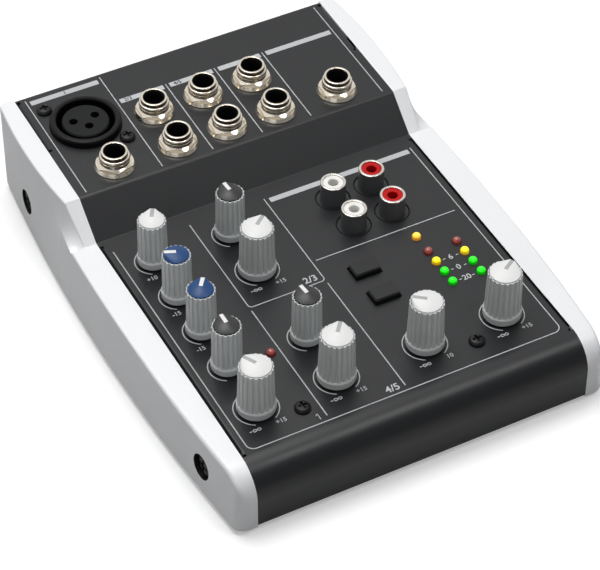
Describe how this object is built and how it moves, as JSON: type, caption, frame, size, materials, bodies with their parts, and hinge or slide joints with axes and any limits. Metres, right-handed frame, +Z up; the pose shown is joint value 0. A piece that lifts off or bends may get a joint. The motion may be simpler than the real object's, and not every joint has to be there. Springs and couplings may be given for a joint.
{
  "type": "mixing console",
  "caption": "Small desk mixing console: folded charcoal steel case with a raised jack panel, turning knobs and push buttons, held between bowed silver end cheeks.",
  "frame": {"origin": "on the surface it stands on, under the middle of the case", "axes": "+X to the user's right, +Y from the front face to the rear face, +Z up"},
  "size_m": [0.1368, 0.1766, 0.0428],
  "materials": {
    "shell_paint": "charcoal fine-textured powder coat on folded steel",
    "tray_paint": "charcoal powder coat on folded steel",
    "cheek_silver": "silver paint on moulded plastic, satin",
    "screw_black": "blackened steel, satin",
    "foot_rubber": "matt black rubber",
    "board_green": "green board lacquer",
    "post_brass": "turned brass",
    "socket_black": "black moulded plastic, satin",
    "nickel": "polished nickel plate, warm",
    "insert_grey": "dark grey moulded plastic",
    "contact_gold": "gold-coloured contact plate",
    "insert_white": "white moulded plastic",
    "insert_red": "red moulded plastic",
    "pot_metal": "pressed steel",
    "lamp_red": "red tinted clear epoxy, unlit",
    "lamp_yellow": "yellow tinted clear epoxy, lit",
    "lamp_green": "green tinted clear epoxy, lit",
    "socket_metal": "tinned steel sleeve",
    "button_black": "black moulded plastic, satin",
    "knob_grey": "mid-grey moulded plastic, satin",
    "cap_white": "white moulded plastic with a grey pointer line",
    "cap_blue": "blue moulded plastic with a white pointer line",
    "cap_dark": "dark grey moulded plastic with a white pointer line",
    "shaft_metal": "turned aluminium"
  },
  "bodies": {
    "case": {"top_shell": "shell_paint", "base_tray": "tray_paint", "left_cheek": "cheek_silver", "right_cheek": "cheek_silver", "case_screws": "screw_black", "rubber_feet": "foot_rubber", "circuit_boards": "board_green", "board_posts": "post_brass", "jack_bodies": "socket_black", "jack_bushings": "nickel", "jack_nuts": "nickel", "mic_shell": "socket_black", "mic_insert": "insert_grey", "mic_contacts": "contact_gold", "panel_screws": "screw_black", "phono_block": "socket_black", "phono_barrels": "nickel", "phono_inserts_white": "insert_white", "phono_inserts_red": "insert_red", "pot_bodies": "pot_metal", "switch_bodies": "socket_black", "leds_red": "lamp_red", "leds_yellow": "lamp_yellow", "leds_green": "lamp_green", "usb_socket": "socket_metal"},
    "trim": {"trim_knob": "knob_grey", "trim_cap": "cap_white", "trim_shaft": "shaft_metal"},
    "high_tone": {"high_tone_knob": "knob_grey", "high_tone_cap": "cap_blue", "high_tone_shaft": "shaft_metal"},
    "low_tone": {"low_tone_knob": "knob_grey", "low_tone_cap": "cap_blue", "low_tone_shaft": "shaft_metal"},
    "pan": {"pan_knob": "knob_grey", "pan_cap": "cap_dark", "pan_shaft": "shaft_metal"},
    "level_1": {"level_1_knob": "knob_grey", "level_1_cap": "cap_white", "level_1_shaft": "shaft_metal"},
    "balance_23": {"balance_23_knob": "knob_grey", "balance_23_cap": "cap_dark", "balance_23_shaft": "shaft_metal"},
    "level_23": {"level_23_knob": "knob_grey", "level_23_cap": "cap_white", "level_23_shaft": "shaft_metal"},
    "balance_45": {"balance_45_knob": "knob_grey", "balance_45_cap": "cap_dark", "balance_45_shaft": "shaft_metal"},
    "level_45": {"level_45_knob": "knob_grey", "level_45_cap": "cap_white", "level_45_shaft": "shaft_metal"},
    "phones": {"phones_knob": "knob_grey", "phones_cap": "cap_white", "phones_shaft": "shaft_metal"},
    "main": {"main_knob": "knob_grey", "main_cap": "cap_white", "main_shaft": "shaft_metal"},
    "upper_button_key": {"upper_button": "button_black"},
    "lower_button_key": {"lower_button": "button_black"}
  },
  "joints": [
    {"name": "trim_turn", "type": "hinge", "parent": "case", "child": "trim", "pos_m": [-0.0445, 0.00855, 0.02351], "axis": [0, -0.0125, 0.9999], "range_deg": [-109, 171]},
    {"name": "high_tone_turn", "type": "hinge", "parent": "case", "child": "high_tone", "pos_m": [-0.0445, -0.00905, 0.02329], "axis": [0, -0.0125, 0.9999], "range_deg": [-206, 74]},
    {"name": "low_tone_turn", "type": "hinge", "parent": "case", "child": "low_tone", "pos_m": [-0.0445, -0.02605, 0.02308], "axis": [0, -0.0125, 0.9999], "range_deg": [-103, 177]},
    {"name": "pan_turn", "type": "hinge", "parent": "case", "child": "pan", "pos_m": [-0.0445, -0.04345, 0.02286], "axis": [0, -0.0125, 0.9999], "range_deg": [-140, 140]},
    {"name": "level_1_turn", "type": "hinge", "parent": "case", "child": "level_1", "pos_m": [-0.0445, -0.06275, 0.02262], "axis": [0, -0.0125, 0.9999], "range_deg": [-168, 112]},
    {"name": "balance_23_turn", "type": "hinge", "parent": "case", "child": "balance_23", "pos_m": [-0.0172, 0.00855, 0.02351], "axis": [0, -0.0125, 0.9999], "range_deg": [-144, 136]},
    {"name": "level_23_turn", "type": "hinge", "parent": "case", "child": "level_23", "pos_m": [-0.0172, -0.01015, 0.02327], "axis": [0, -0.0125, 0.9999], "range_deg": [-89, 191]},
    {"name": "balance_45_turn", "type": "hinge", "parent": "case", "child": "balance_45", "pos_m": [-0.0172, -0.04345, 0.02286], "axis": [0, -0.0125, 0.9999], "range_deg": [-145, 135]},
    {"name": "level_45_turn", "type": "hinge", "parent": "case", "child": "level_45", "pos_m": [-0.0172, -0.06275, 0.02262], "axis": [0, -0.0125, 0.9999], "range_deg": [-101, 179]},
    {"name": "phones_turn", "type": "hinge", "parent": "case", "child": "phones", "pos_m": [0.0136, -0.06275, 0.02262], "axis": [0, -0.0125, 0.9999], "range_deg": [-192, 88]},
    {"name": "main_turn", "type": "hinge", "parent": "case", "child": "main", "pos_m": [0.0411, -0.06275, 0.02262], "axis": [0, -0.0125, 0.9999], "range_deg": [-82, 198]},
    {"name": "upper_button_press", "type": "slide", "parent": "case", "child": "upper_button_key", "axis": [0, 0.0125, -0.9999], "range_m": [0, 0.0015], "stiffness_N_per_m": 1000},
    {"name": "lower_button_press", "type": "slide", "parent": "case", "child": "lower_button_key", "axis": [0, 0.0125, -0.9999], "range_m": [0, 0.0015], "stiffness_N_per_m": 1000}
  ]
}
